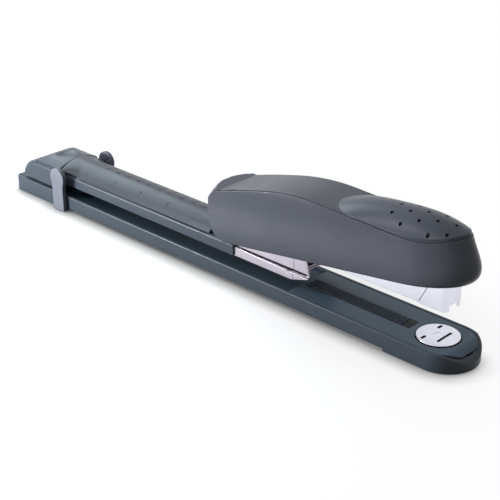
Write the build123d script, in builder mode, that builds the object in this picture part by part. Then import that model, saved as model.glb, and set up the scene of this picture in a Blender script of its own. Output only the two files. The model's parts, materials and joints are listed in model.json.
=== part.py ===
from build123d import *
import os
from math import cos, radians, sin, sqrt

# A long-reach office stapler, in millimetres. X runs along the base towards the anvil,
# +Z is up, and the base stands on Z = 0. Every piece is drawn where it sits at rest.

os.makedirs("parts", exist_ok=True)

# Sheet metal, clearances and a reach past every piece for through cuts
sheet = 1.2
running_gap = 0.05
press_gap = 0.02
slip_gap = 0.15
hole_gap = 0.2
beyond = 100.0

# Small screws that hold the table and the handle frame
screw_radius = 1.1
screw_head_radius = 2.4
screw_head_height = 1.2
screw_boss_radius = 3.2

# Base tray
base_length = 375.0
base_width = 39.0
rim_height = 11.0
rim_round = 0.9
end_lift = 0.4
slide_gap = 2.0
rear_step_x = -145.0
front_step_x = 140.6
floor_height = 3.6
ledge_height = 8.4
wall_inset = 2.0
ledge_inset = 3.6
cover_inset = 2.35
rear_corner_radius = 3.0
rim_droop_x = 173.0
rim_droop_radius = 19.0
base_rear_x = -base_length / 2
base_nose_x = base_length / 2 - base_width / 2

# Rubber feet
foot_height = 1.2
rear_foot_start_x = -184.0
rear_foot_end_x = -167.0
rear_foot_half = 15.0
front_foot_x = 166.1
front_foot_radius = 14.0

# Front table, deck and grip strip
table_rear_x = 70.0
table_height = 10.9
table_roll_x = 177.5
table_roll_radius = 9.5
table_screw_spots = [(x, y) for x in (84.0, 134.0) for y in (-11.0, 11.0)]
deck_height = 9.2
deck_rear_x = -142.5
strip_start_x = 73.0
strip_end_x = 146.4
strip_width = 8.6
strip_floor = 9.9
strip_edge = 0.4
rib_start = 0.8
rib_pitch = 1.7
rib_width = 0.9
rib_height = 0.6
rib_count = 40

# Anvil
anvil_x = 163.1
anvil_radius = 12.2
anvil_height = 11.5
anvil_floor = 9.6
anvil_hole_radius = 5.0
clinch_offset = 4.0
clinch_length = 13.4
clinch_width = 1.7
pin_groove_offset = 4.4
pin_groove_y = 7.6
pin_groove_length = 4.2
pin_groove_width = 1.9
groove_depth = 0.6
stud_radius = 1.5
stud_head_radius = 2.6
stud_bottom = 4.6
clip_radius = 3.4
clip_bottom = 5.9
clip_height = 0.8

# Rear block, housing, cap and arm
block_half = 15.7
block_pedestal_half = 14.4
block_pedestal_x = (-166.5, -143.5)
housing_rear_x = -180.5
housing_front_x = -141.5
housing_width = 37.0
housing_bottom = 13.0
housing_top = 26.4
housing_round = 15.0
housing_wall = 2.0
housing_window = (-165.5, -146.5, 6.0)
cap_rear_x = -167.0
cap_half = 17.0
crown_height = 31.4
dimple_x = -154.5
dimple_diameter = 17.5
dimple_depth = 1.8
arm_rear_x = -165.0
arm_front_x = 24.0
arm_width = 32.0
arm_bottom = 17.2
arm_top = 24.3
cover_front_x = 2.5
cover_half = 14.5
cover_shell = 1.8
arm_screw_xs = (-161.0, -151.0)
arm_screw_radius = 2.0
arm_screw_head_radius = 3.8
arm_screw_head_z = (1.3, 2.4)
nut_radius = 4.0
nut_height = 2.6

# Pivot, bracket and yoke
pivot_x = 24.0
pivot_z = 43.5
pin_radius = 2.5
pin_half_length = 14.9
clip_outer_radius = 4.4
clip_y = (13.7, 14.4)
bush_radius = 4.2
bush_y = (9.9, 12.0)
bracket_half = 14.75
bracket_rear_x = -30.0
bracket_bend_x = 70.0
bracket_front_x = 82.0
yoke_half = 13.5
yoke_floor = 18.45
yoke_ear_radius = 10.0
rivet_xs = (8.0, 66.0)
rivet_z = 21.3
rivet_radius = 1.2
rivet_head_extra = 0.4
rivet_head_height = 0.6

# Head spring
head_spring_x = 60.0
head_spring_radius = 4.0
head_spring_wire = 0.5
head_spring_pitch = 2.5

# Magazine, nose, staples and follower
magazine_bottom = 31.0
magazine_top = 42.5
magazine_half = 7.4
magazine_wall = 0.8
magazine_front_x = 168.6
mouth_rear_x = 165.8
magazine_ear_radius = 6.5
nose_rear_x = 153.8
nose_front_x = 171.8
nose_wall = 0.8
nose_half = 8.0
nose_drop = 0.2
nose_top = 46.5
nose_slant = 5.5
nose_round = 3.6
nose_inner_round = 2.2
notch_y = (-4.6, 3.0)
notch_height = 2.8
rail_half = 5.5
rail_top = 37.1
rail_wall = 0.8
staple_half = 6.45
staple_wire = 0.7
staple_top = 38.1
staple_foot_gap = 1.1
strip_rear_x = 116.2
follower_length = 20.0
follower_half = 6.35
rod_z = 40.4
rod_radius = 1.0
rod_rear_x = 52.0
rod_tab = 1.6
follower_spring_radius = 1.55
follower_spring_wire = 0.3
follower_spring_pitch = 3.0

# Handle
handle_tilt = 8.47
handle_foot_z = 25.26
handle_nose = 32.0
handle_wall = 1.7
handle_rear_radius = 20.4
groove_gap = 0.12
crease_step = 0.6
top_edge_round = 0.7
crown_shell = 2.2
flat_rise = 0.6
dome_span = 26.0
rear_ledge_top = 57.2
rear_ledge_x = 15.0
rear_ball_x = 26.3
rear_ball_z = 35.3
rear_ball_radius = 31.3
lip_height = 1.8
vent_radius = 1.0
vent_columns = 5
vent_step_x = 8.8
vent_step_y = 4.15
vent_start_x = 133.9
# Plan rings of the outside and of the hollow: height above the lower edge, half width, front
outer_rings = ((0.0, 17.3, 157.5), (3.0, 18.2, 161.6), (10.0, 18.0, 163.0), (26.0, 16.4, 159.2),
               (46.0, 14.6, 151.0))
hollow_rings = ((-4.0, 16.5, 151.0), (3.0, 16.5, 158.8), (10.0, 16.3, 161.2), (26.0, 14.7, 157.4),
                (46.0, 12.9, 149.0))
# Side view of the groove between skirt and top, then the thumb dome's stations:
# x, half width, shoulder and crown
groove_line = ((-4.0, 50.8), (12.0, 56.2), (23.0, 59.6), (39.0, 64.0), (54.5, 67.8), (70.0, 70.3), (85.0, 71.1),
               (99.0, 70.7), (120.0, 70.1), (144.0, 69.4), (158.0, 70.0), (168.0, 71.7), (176.0, 74.2),
               (192.0, 80.5))
dome_stations = ((90.0, 17.0, 66.0, 69.6), (107.0, 17.0, 69.6, 75.2), (124.0, 17.0, 69.2, 78.5),
                 (141.0, 17.0, 67.5, 80.2), (158.0, 16.0, 68.6, 80.2), (175.0, 9.0, 73.9, 76.5),
                 (192.0, 4.0, 70.0, 70.6))

# Edges of the top that are rounded: their least length, how far out they lie, or how far forward
shortest_rounded = 5.0
shoulder_y = 12.0
front_edge_x = 140.0
arm_pass_gap = 0.5

# Handle frame, driver and leaf spring
press_angle = 5.0
frame_half = 9.6
frame_ear_radius = 7.5
frame_top = ((30.0, 50.0), (46.0, 57.2), (60.0, 59.2), (120.0, 60.6), (168.2, 61.7))
frame_bottom = ((168.2, 54.6), (120.0, 46.0), (40.0, 38.0))
frame_cheek = ((20.0, 38.5), (42.0, 38.5), (42.0, 55.0), (30.0, 50.0), (20.0, 49.0))
# Where the frame is screwed to the top: x, the frame's upper face and a height inside the roof
frame_screw_spots = ((66.0, 59.34, 69.0), (120.0, 60.6, 76.0))
frame_screw_reach = 5.5
driver_x = 169.8
driver_thickness = 0.7
driver_half = 6.0
driver_low = -12.3
driver_high = 6.0
flange_low = 3.8
flange_high = 6.2
leaf_half = 7.6
leaf_side = ((46.0, 55.6), (60.0, 57.6), (66.0, 57.0), (112.0, 43.2), (118.0, 43.4), (118.0, 42.8),
             (111.9, 42.6), (65.7, 56.4), (60.0, 57.0), (46.1, 55.0))
leaf_hole_radius = 3.0

# Paper stop
stop_x = -136.0
stop_inner_half = 19.9
stop_outer_half = 22.9
stop_neck = 11.2
stop_head_radius = 7.0
stop_neck_round = 20.0
stop_top = 30.4
stop_bottom = 0.3
stop_bar_top = 1.7


def plan_outline(inset, rear_x, height):
    """The base seen from above: straight sides, square rear end and half-round front."""
    half = base_width / 2 - inset
    with BuildSketch(Plane.XY.offset(height)) as sketch:
        with BuildLine():
            Polyline((base_nose_x, half), (rear_x, half), (rear_x, -half), (base_nose_x, -half))
            ThreePointArc((base_nose_x, -half), (base_nose_x + half, 0), (base_nose_x, half))
        make_face()
    return sketch.sketch


def side_face(*points):
    """A closed polygon in the side view, from (x, z) points."""
    with BuildSketch(Plane.XZ) as sketch:
        with BuildLine():
            Polyline(*points, close=True)
        make_face()
    return sketch.sketch


def front_roll(start_x, top, radius):
    """What lies above a front edge that rolls over from start_x, in the side view."""
    end_x = base_length / 2 + 1
    half_way = (end_x - start_x) / 2
    end_drop = radius - sqrt(radius**2 - min(radius, end_x - start_x) ** 2)
    half_drop = radius - sqrt(radius**2 - half_way**2)
    with BuildSketch(Plane.XZ) as sketch:
        with BuildLine():
            ThreePointArc((start_x, top), (start_x + half_way, top - half_drop), (end_x, top - end_drop))
            Polyline((end_x, top - end_drop), (end_x, top + radius), (start_x, top + radius), (start_x, top))
        make_face()
    return sketch.sketch


def arch_face(x, half, foot, spring, crown):
    """An arch section across the arm at x: upright sides up to spring, then an arc to the crown."""
    with BuildSketch(Plane.YZ.offset(x)) as sketch:
        with BuildLine():
            ThreePointArc((-half, spring), (0, crown), (half, spring))
            Polyline((half, spring), (half, foot), (-half, foot), (-half, spring))
        make_face()
    return sketch.sketch


def box_between(x0, x1, y0, y1, z0, z1, mode=Mode.ADD):
    """A block given by its two corners."""
    with Locations(((x0 + x1) / 2, (y0 + y1) / 2, (z0 + z1) / 2)):
        return Box(x1 - x0, y1 - y0, z1 - z0, mode=mode)


def post(x, y, radius, bottom, top, mode=Mode.ADD):
    """An upright round post or hole."""
    with Locations((x, y, (bottom + top) / 2)):
        return Cylinder(radius, top - bottom, mode=mode)


def cross_pin(x, z, radius, y0, y1, mode=Mode.ADD):
    """A round pin or hole along Y."""
    with Locations(Location((x, (y0 + y1) / 2, z), (90, 0, 0))):
        return Cylinder(radius, y1 - y0, mode=mode)


def long_pin(x0, x1, z, radius, mode=Mode.ADD):
    """A round rod or hole along X."""
    with Locations(Location(((x0 + x1) / 2, 0, z), (0, 90, 0))):
        return Cylinder(radius, x1 - x0, mode=mode)


# Base shell: the tray that everything stands in
with BuildPart() as base_shell:
    extrude(plan_outline(0, base_rear_x, end_lift), amount=rim_height - end_lift)
    fillet(base_shell.edges().filter_by(Axis.Z).group_by(Axis.X)[0], rear_corner_radius)
    fillet(base_shell.faces().sort_by(Axis.Z)[-1].edges(), rim_round)
    extrude(plan_outline(wall_inset, base_rear_x + wall_inset, ledge_height), amount=rim_height,
            mode=Mode.SUBTRACT)
    extrude(plan_outline(ledge_inset, base_rear_x + ledge_inset, floor_height), amount=rim_height,
            mode=Mode.SUBTRACT)
    box_between(rear_step_x, front_step_x, -base_width, base_width, -1, slide_gap, Mode.SUBTRACT)
    extrude(front_roll(rim_droop_x, rim_height, rim_droop_radius), amount=base_width, both=True,
            mode=Mode.SUBTRACT)
    for x, y in table_screw_spots:
        post(x, y, screw_boss_radius, slide_gap, ledge_height)
        post(x, y, screw_radius + hole_gap, 0, rim_height, Mode.SUBTRACT)
        post(x, y, screw_head_radius + hole_gap, 0, slide_gap + screw_head_height + hole_gap, Mode.SUBTRACT)
    for x in arm_screw_xs:
        post(x, 0, arm_screw_radius + hole_gap, 0, rim_height, Mode.SUBTRACT)
        post(x, 0, arm_screw_head_radius + hole_gap, 0, arm_screw_head_z[1], Mode.SUBTRACT)
    post(anvil_x, 0, anvil_hole_radius, 0, rim_height, Mode.SUBTRACT)
    box_between(rear_foot_start_x - hole_gap, rear_foot_end_x + hole_gap, -rear_foot_half - hole_gap,
                rear_foot_half + hole_gap, 0, foot_height, Mode.SUBTRACT)
    post(front_foot_x, 0, front_foot_radius + hole_gap, 0, foot_height, Mode.SUBTRACT)
base_shell.part.label = "base_shell"
export_step(base_shell.part, "parts/base_shell.step")

# Rubber feet, let into the underside of both ends
with BuildPart() as base_feet:
    box_between(rear_foot_start_x, rear_foot_end_x, -rear_foot_half, rear_foot_half, 0, foot_height)
    fillet(base_feet.edges().filter_by(Axis.Z), wall_inset)
    post(front_foot_x, 0, front_foot_radius, 0, foot_height)
    post(anvil_x, 0, anvil_hole_radius, 0, foot_height, Mode.SUBTRACT)
base_feet.part.label = "base_feet"
export_step(base_feet.part, "parts/base_feet.step")

# Front table: the flat the paper lies on, rolled over at the front end
with BuildPart() as front_table:
    extrude(plan_outline(cover_inset, table_rear_x, ledge_height), amount=table_height - ledge_height)
    extrude(front_roll(table_roll_x, table_height, table_roll_radius), amount=base_width, both=True,
            mode=Mode.SUBTRACT)
    fillet(front_table.edges().filter_by(Axis.X).group_by(Axis.Z)[-1], rim_round / 2)
    box_between(strip_start_x - slip_gap, strip_end_x + slip_gap, -strip_width / 2 - slip_gap,
                strip_width / 2 + slip_gap, strip_floor, rim_height, Mode.SUBTRACT)
    post(anvil_x, 0, anvil_radius + strip_edge, anvil_floor, rim_height, Mode.SUBTRACT)
    post(anvil_x, 0, stud_radius + running_gap, 0, rim_height, Mode.SUBTRACT)
    for x, y in table_screw_spots:
        post(x, y, screw_radius + running_gap, 0, table_height - slip_gap * 4, Mode.SUBTRACT)
front_table.part.label = "front_table"
export_step(front_table.part, "parts/front_table.step")

with BuildPart() as table_screws:
    for x, y in table_screw_spots:
        post(x, y, screw_radius, slide_gap + hole_gap, table_height - slip_gap * 5)
        post(x, y, screw_head_radius, slide_gap + hole_gap, slide_gap + hole_gap + screw_head_height)
table_screws.part.label = "table_screws"
export_step(table_screws.part, "parts/table_screws.step")

# Deck: the sheet that closes the tray under the arm
with BuildPart() as base_deck:
    box_between(deck_rear_x, table_rear_x - slip_gap, cover_inset - base_width / 2, base_width / 2 - cover_inset,
                ledge_height, deck_height)
base_deck.part.label = "base_deck"
export_step(base_deck.part, "parts/base_deck.step")

# Ribbed grip strip let into the table
with BuildPart() as grip_strip:
    box_between(strip_start_x, strip_end_x, -strip_width / 2, strip_width / 2, strip_floor, table_height)
    for rib in range(rib_count):
        rib_x = strip_start_x + rib_start + rib * rib_pitch
        box_between(rib_x, rib_x + rib_width, strip_edge - strip_width / 2, strip_width / 2 - strip_edge,
                    strip_floor, table_height + rib_height)
grip_strip.part.label = "grip_strip"
export_step(grip_strip.part, "parts/grip_strip.step")

# Anvil: a disc that turns half a turn, on a stud with a spring washer and a clip
with BuildPart() as anvil_disc:
    post(anvil_x, 0, anvil_radius, anvil_floor + slip_gap, anvil_height)
    fillet(anvil_disc.edges().group_by(Axis.Z)[-1], strip_edge)
    with BuildSketch(Plane.XY.offset(anvil_height)):
        with Locations((anvil_x + clinch_offset, 0)):
            SlotOverall(clinch_length, clinch_width, rotation=90)
        with Locations((anvil_x - pin_groove_offset, pin_groove_y), (anvil_x - pin_groove_offset, -pin_groove_y)):
            SlotOverall(pin_groove_length, pin_groove_width, rotation=90)
    extrude(amount=-groove_depth, mode=Mode.SUBTRACT)
    post(anvil_x, 0, stud_head_radius + hole_gap / 2, anvil_height - groove_depth, rim_height + 1, Mode.SUBTRACT)
    post(anvil_x, 0, stud_radius + press_gap, 0, rim_height + 1, Mode.SUBTRACT)
anvil_disc.part.label = "anvil_disc"
export_step(anvil_disc.part, "parts/anvil_disc.step")

with BuildPart() as anvil_stud:
    post(anvil_x, 0, stud_radius, stud_bottom, anvil_height - slip_gap)
    post(anvil_x, 0, stud_head_radius, anvil_height - groove_depth, anvil_height - slip_gap)
    post(anvil_x, 0, stud_radius + groove_depth, stud_bottom, stud_bottom + groove_depth)
anvil_stud.part.label = "anvil_stud"
export_step(anvil_stud.part, "parts/anvil_stud.step")

washer_inner = stud_radius + hole_gap
washer_foot = clip_bottom + clip_height + hole_gap
washer_rim = ledge_height - groove_depth
with BuildPart() as anvil_washer:
    with BuildSketch(Plane.XZ):
        with BuildLine():
            Polyline((anvil_x + washer_inner, washer_foot),
                     (anvil_x + anvil_hole_radius - clip_height, washer_rim),
                     (anvil_x + anvil_hole_radius - clip_height, washer_rim + strip_edge),
                     (anvil_x + washer_inner, washer_foot + strip_edge), close=True)
        make_face()
    revolve(axis=Axis((anvil_x, 0, 0), (0, 0, 1)))
anvil_washer.part.label = "anvil_washer"
export_step(anvil_washer.part, "parts/anvil_washer.step")

with BuildPart() as anvil_clip:
    post(anvil_x, 0, clip_radius, clip_bottom, clip_bottom + clip_height)
    post(anvil_x, 0, stud_radius + press_gap, 0, rim_height, Mode.SUBTRACT)
    box_between(anvil_x - anvil_hole_radius, anvil_x, -clip_height, clip_height, 0, rim_height, Mode.SUBTRACT)
anvil_clip.part.label = "anvil_clip"
export_step(anvil_clip.part, "parts/anvil_clip.step")

# Rear block: fills the rear of the tray and carries the arm
block_front_x = deck_rear_x - slip_gap
with BuildPart() as rear_block:
    box_between(base_rear_x + ledge_inset + hole_gap, block_front_x, -block_half, block_half, floor_height,
                ledge_height)
    box_between(base_rear_x + cover_inset, block_front_x, cover_inset - base_width / 2,
                base_width / 2 - cover_inset, ledge_height, rim_height + hole_gap)
    box_between(block_pedestal_x[0], block_pedestal_x[1], -block_pedestal_half, block_pedestal_half, ledge_height,
                arm_top - sheet)
    for x in arm_screw_xs:
        post(x, 0, arm_screw_radius + hole_gap, 0, arm_top, Mode.SUBTRACT)
rear_block.part.label = "rear_block"
export_step(rear_block.part, "parts/rear_block.step")

# Rear housing: the rounded cover over the root of the arm
housing_root = housing_top - housing_round - 1
with BuildPart() as housing_hollow:
    box_between(housing_rear_x + housing_wall, housing_front_x + 1, -arm_width / 2 - hole_gap,
                arm_width / 2 + hole_gap, housing_root - 1, arm_top + slip_gap)
    fillet(housing_hollow.edges().filter_by(Axis.Y).group_by(Axis.X)[0].sort_by(Axis.Z)[-1],
           housing_round - housing_wall)

with BuildPart() as rear_housing:
    box_between(housing_rear_x, housing_front_x, -housing_width / 2, housing_width / 2, housing_root, housing_top)
    fillet(rear_housing.edges().filter_by(Axis.Y).group_by(Axis.X)[0].sort_by(Axis.Z)[-1], housing_round)
    fillet(rear_housing.edges().filter_by(Axis.Z).group_by(Axis.X)[0], rear_corner_radius - rim_round / 2)
    add(housing_hollow.part, mode=Mode.SUBTRACT)
    box_between(housing_rear_x - 1, housing_front_x + 1, -base_width, base_width, 0, housing_bottom, Mode.SUBTRACT)
    box_between(housing_window[0], housing_window[1], -housing_window[2], housing_window[2], arm_top,
                housing_top + 1, Mode.SUBTRACT)
rear_housing.part.label = "rear_housing"
export_step(rear_housing.part, "parts/rear_housing.step")

# Rear cap: the arched lid with a thumb dimple
cap_front_x = housing_front_x + sheet
cap_level_x = dimple_x + clinch_offset
cap_slope_x = (cap_rear_x + cap_level_x) / 2 - dimple_depth
dimple_ball = (dimple_diameter**2 / 4 + dimple_depth**2) / (2 * dimple_depth)
with BuildPart() as rear_cap:
    extrude(arch_face(cap_rear_x - 1, cap_half, housing_top + running_gap, housing_top + slip_gap * 2, crown_height),
            amount=cap_front_x - cap_rear_x + 1)
    with BuildSketch(Plane.XZ) as cap_side:
        with BuildLine():
            ThreePointArc((cap_rear_x, housing_top), (cap_slope_x, crown_height - dimple_depth),
                          (cap_level_x, crown_height))
            Polyline((cap_level_x, crown_height), (cap_front_x + 1, crown_height), (cap_front_x + 1, housing_top),
                     (cap_rear_x, housing_top))
        make_face()
    extrude(amount=base_width, both=True, mode=Mode.INTERSECT)
    with Locations((dimple_x, 0, crown_height - hole_gap - dimple_depth + dimple_ball)):
        Sphere(dimple_ball, mode=Mode.SUBTRACT)
    box_between(housing_window[0], housing_window[1], -housing_window[2], housing_window[2], arm_top,
                arm_top + nut_height + 2 * strip_edge, Mode.SUBTRACT)
rear_cap.part.label = "rear_cap"
export_step(rear_cap.part, "parts/rear_cap.step")

# Arm: an inverted steel channel with an arched cover on top
with BuildPart() as arm_channel:
    box_between(arm_rear_x, arm_front_x, -arm_width / 2, arm_width / 2, arm_bottom, arm_top)
    fillet(arm_channel.edges().filter_by(Axis.X).group_by(Axis.Z)[-1], sheet)
    box_between(arm_rear_x - 1, arm_front_x + 1, sheet - arm_width / 2, arm_width / 2 - sheet,
                arm_bottom - 1, arm_top - sheet, Mode.SUBTRACT)
    for x in arm_screw_xs:
        post(x, 0, arm_screw_radius + hole_gap, arm_bottom, arm_top + 1, Mode.SUBTRACT)
arm_channel.part.label = "arm_channel"
export_step(arm_channel.part, "parts/arm_channel.step")

cover_rear_x = cap_front_x + hole_gap
with BuildPart() as arm_cover:
    extrude(arch_face(cover_rear_x, cover_half, arm_top, arm_top + strip_edge, crown_height),
            amount=cover_front_x - cover_rear_x)
    extrude(arch_face(cover_rear_x - 1, cover_half - cover_shell, arm_top - 1, arm_top + slip_gap,
                      crown_height - cover_shell),
            amount=cover_front_x - cover_rear_x + 1 - cover_shell, mode=Mode.SUBTRACT)
    fillet(arm_cover.edges().group_by(Axis.X)[-1].filter_by(GeomType.CIRCLE), rim_round)
arm_cover.part.label = "arm_cover"
export_step(arm_cover.part, "parts/arm_cover.step")

with BuildPart() as arm_screws:
    for x in arm_screw_xs:
        post(x, 0, arm_screw_radius, arm_screw_head_z[0], arm_top + nut_height + strip_edge)
        post(x, 0, arm_screw_head_radius, *arm_screw_head_z)
arm_screws.part.label = "arm_screws"
export_step(arm_screws.part, "parts/arm_screws.step")

with BuildPart() as arm_nuts:
    with BuildSketch(Plane.XY.offset(arm_top)):
        with Locations(*[(x, 0) for x in arm_screw_xs]):
            RegularPolygon(nut_radius, 6)
            Circle(arm_screw_radius + press_gap, mode=Mode.SUBTRACT)
    extrude(amount=nut_height)
arm_nuts.part.label = "arm_nuts"
export_step(arm_nuts.part, "parts/arm_nuts.step")

# Bracket: the bright channel that comes out of the arm, open in front of its bend
bracket_top = arm_top - sheet - slip_gap
bracket_inner = bracket_half - sheet
with BuildPart() as bracket_channel:
    extrude(side_face((bracket_rear_x, arm_bottom), (bracket_bend_x, arm_bottom), (bracket_front_x, 20.9),
                      (bracket_front_x, 21.5), (arm_front_x, bracket_top), (bracket_rear_x, bracket_top)),
            amount=bracket_half, both=True)
    box_between(bracket_rear_x - 1, bracket_front_x + 1, -bracket_inner, bracket_inner, arm_bottom + sheet, arm_top,
                Mode.SUBTRACT)
    box_between(bracket_bend_x + strip_edge, bracket_front_x + 1, -bracket_inner, bracket_inner, arm_bottom - 1,
                arm_top, Mode.SUBTRACT)
    for x in rivet_xs:
        cross_pin(x, rivet_z, rivet_radius + press_gap, -base_width, base_width, Mode.SUBTRACT)
bracket_channel.part.label = "bracket_channel"
export_step(bracket_channel.part, "parts/bracket_channel.step")

# Yoke: two cheeks that stand in the bracket and hold the pivot pin
yoke_inner = yoke_half - sheet
yoke_bend_x = bracket_bend_x - strip_edge
yoke_ledge = bracket_top - slip_gap
with BuildPart() as pivot_yoke:
    extrude(side_face((3.0, yoke_floor), (yoke_bend_x, yoke_floor), (bracket_front_x, 21.6), (78.5, 36.0),
                      (64.0, 42.0), (34.0, 48.0), (34.0, pivot_z), (14.0, pivot_z), (14.0, 37.5), (25.0, 33.0),
                      (25.0, yoke_ledge), (3.0, yoke_ledge)),
            amount=yoke_half, both=True)
    cross_pin(pivot_x, pivot_z, yoke_ear_radius, -yoke_half, yoke_half)
    box_between(-beyond, beyond, -yoke_inner, yoke_inner, yoke_floor + sheet, beyond, Mode.SUBTRACT)
    box_between(yoke_bend_x, beyond, -yoke_inner, yoke_inner, 0, beyond, Mode.SUBTRACT)
    cross_pin(pivot_x, pivot_z, pin_radius + press_gap, -base_width, base_width, Mode.SUBTRACT)
    for x in rivet_xs:
        cross_pin(x, rivet_z, rivet_radius + press_gap, -base_width, base_width, Mode.SUBTRACT)
pivot_yoke.part.label = "pivot_yoke"
export_step(pivot_yoke.part, "parts/pivot_yoke.step")

with BuildPart() as bracket_rivets:
    for x in rivet_xs:
        for side in (-1, 1):
            tail = yoke_inner - rivet_head_height
            cross_pin(x, rivet_z, rivet_radius, *sorted((side * tail, side * bracket_half)))
            cross_pin(x, rivet_z, rivet_radius + rivet_head_extra, *sorted((side * tail, side * yoke_inner)))
bracket_rivets.part.label = "bracket_rivets"
export_step(bracket_rivets.part, "parts/bracket_rivets.step")

# Pivot pin, its clips and the bushes that space the head between the cheeks
with BuildPart() as pivot_pin:
    cross_pin(pivot_x, pivot_z, pin_radius, -pin_half_length, pin_half_length)
    chamfer(pivot_pin.edges().filter_by(GeomType.CIRCLE), hole_gap)
pivot_pin.part.label = "pivot_pin"
export_step(pivot_pin.part, "parts/pivot_pin.step")

with BuildPart() as pin_clips:
    for side in (-1, 1):
        y0, y1 = sorted(side * y for y in clip_y)
        cross_pin(pivot_x, pivot_z, clip_outer_radius, y0, y1)
        cross_pin(pivot_x, pivot_z, pin_radius + press_gap, y0, y1, Mode.SUBTRACT)
        box_between(pivot_x - sheet, pivot_x + sheet, y0, y1, pivot_z - yoke_ear_radius, pivot_z, Mode.SUBTRACT)
pin_clips.part.label = "pin_clips"
export_step(pin_clips.part, "parts/pin_clips.step")

with BuildPart() as pivot_bushes:
    for side in (-1, 1):
        y0, y1 = sorted(side * y for y in bush_y)
        cross_pin(pivot_x, pivot_z, bush_radius, y0, y1)
        cross_pin(pivot_x, pivot_z, pin_radius + running_gap, y0, y1, Mode.SUBTRACT)
pivot_bushes.part.label = "pivot_bushes"
export_step(pivot_bushes.part, "parts/pivot_bushes.step")

# Head spring: lifts the magazine off the anvil
head_spring_foot = yoke_floor + sheet + head_spring_wire + running_gap
head_spring_top = magazine_bottom - head_spring_wire - running_gap
with BuildPart() as head_spring:
    with BuildLine() as head_coil:
        Helix(pitch=head_spring_pitch, height=head_spring_top - head_spring_foot, radius=head_spring_radius,
              center=(head_spring_x, 0, head_spring_foot))
    with BuildSketch(Plane(origin=head_coil.line @ 0, z_dir=head_coil.line % 0)):
        Circle(head_spring_wire)
    sweep(is_frenet=True)
head_spring.part.label = "head_spring"
export_step(head_spring.part, "parts/head_spring.step")

# Magazine channel: the open trough for the staples, hung on the pivot pin
magazine_inner = magazine_half - magazine_wall
with BuildPart() as magazine_channel:
    extrude(side_face((33.0, magazine_bottom), (magazine_front_x, magazine_bottom),
                      (magazine_front_x, magazine_top), (46.0, magazine_top), (29.5, 48.0), (18.5, 39.5)),
            amount=magazine_half, both=True)
    cross_pin(pivot_x, pivot_z, magazine_ear_radius, -magazine_half, magazine_half)
    box_between(0, base_length, -magazine_inner, magazine_inner, magazine_bottom + magazine_wall, beyond,
                Mode.SUBTRACT)
    box_between(mouth_rear_x, base_length, -magazine_inner, magazine_inner, 0, beyond, Mode.SUBTRACT)
    cross_pin(pivot_x, pivot_z, pin_radius + running_gap, -base_width, base_width, Mode.SUBTRACT)
magazine_channel.part.label = "magazine_channel"
export_step(magazine_channel.part, "parts/magazine_channel.step")

# Nose: the bright sleeve round the mouth of the magazine, notched at the front
nose_bottom = magazine_bottom - nose_drop
with BuildPart() as nose_hollow:
    box_between(0, nose_front_x - nose_wall, -magazine_half - press_gap, magazine_half + press_gap, 0, beyond)
    fillet(nose_hollow.edges().filter_by(Axis.Z).group_by(Axis.X)[-1], nose_inner_round)

with BuildPart() as nose_sleeve:
    extrude(side_face((nose_rear_x, nose_bottom), (nose_front_x, nose_bottom), (nose_front_x, nose_top),
                      (nose_rear_x + nose_slant, nose_top)),
            amount=nose_half, both=True)
    fillet(nose_sleeve.edges().filter_by(Axis.Z).group_by(Axis.X)[-1], nose_round)
    add(nose_hollow.part, mode=Mode.SUBTRACT)
    box_between(mouth_rear_x, nose_front_x + 1, notch_y[0], notch_y[1], 0, magazine_bottom + notch_height,
                Mode.SUBTRACT)
nose_sleeve.part.label = "nose_sleeve"
export_step(nose_sleeve.part, "parts/nose_sleeve.step")

# Staple rail with the upright tab that holds the follower rod
with BuildPart() as staple_rail:
    box_between(rod_rear_x, magazine_front_x, -rail_half, rail_half, magazine_bottom + magazine_wall, rail_top)
    box_between(0, base_length, rail_wall - rail_half, rail_half - rail_wall, 0, rail_top - rail_wall,
                Mode.SUBTRACT)
    box_between(rod_rear_x, rod_rear_x + rod_tab, -rod_radius * 4, rod_radius * 4, rail_top - rail_wall,
                rod_z + rod_radius + rod_tab)
    long_pin(rod_rear_x - rod_tab, rod_rear_x + 2 * rod_tab, rod_z, rod_radius + press_gap, Mode.SUBTRACT)
staple_rail.part.label = "staple_rail"
export_step(staple_rail.part, "parts/staple_rail.step")

# One glued strip of staples astride the rail
staple_inner = staple_half - staple_wire
with BuildPart() as staple_strip:
    box_between(strip_rear_x, magazine_front_x - hole_gap, -staple_half, staple_half,
                magazine_bottom + staple_foot_gap, staple_top)
    box_between(0, base_length, -staple_inner, staple_inner, 0, staple_top - staple_wire, Mode.SUBTRACT)
staple_strip.part.label = "staple_strip"
export_step(staple_strip.part, "parts/staple_strip.step")

# Follower: pushed against the strip by a spring on a rod
follower_front_x = strip_rear_x - 2 * slip_gap
follower_rear_x = follower_front_x - follower_length
with BuildPart() as follower:
    box_between(follower_rear_x, follower_front_x, -follower_half, follower_half, magazine_bottom + sheet,
                magazine_top - hole_gap)
    box_between(0, base_length, -rail_half - slip_gap, rail_half + slip_gap, 0, rail_top + slip_gap, Mode.SUBTRACT)
    long_pin(0, base_length, rod_z, rod_radius + 2 * running_gap, Mode.SUBTRACT)
    fillet(follower.edges().filter_by(Axis.X).group_by(Axis.Z)[-1], rib_start)
follower.part.label = "follower"
export_step(follower.part, "parts/follower.step")

with BuildPart() as follower_rod:
    long_pin(rod_rear_x - rail_wall, follower_front_x - wall_inset, rod_z, rod_radius)
follower_rod.part.label = "follower_rod"
export_step(follower_rod.part, "parts/follower_rod.step")

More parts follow.
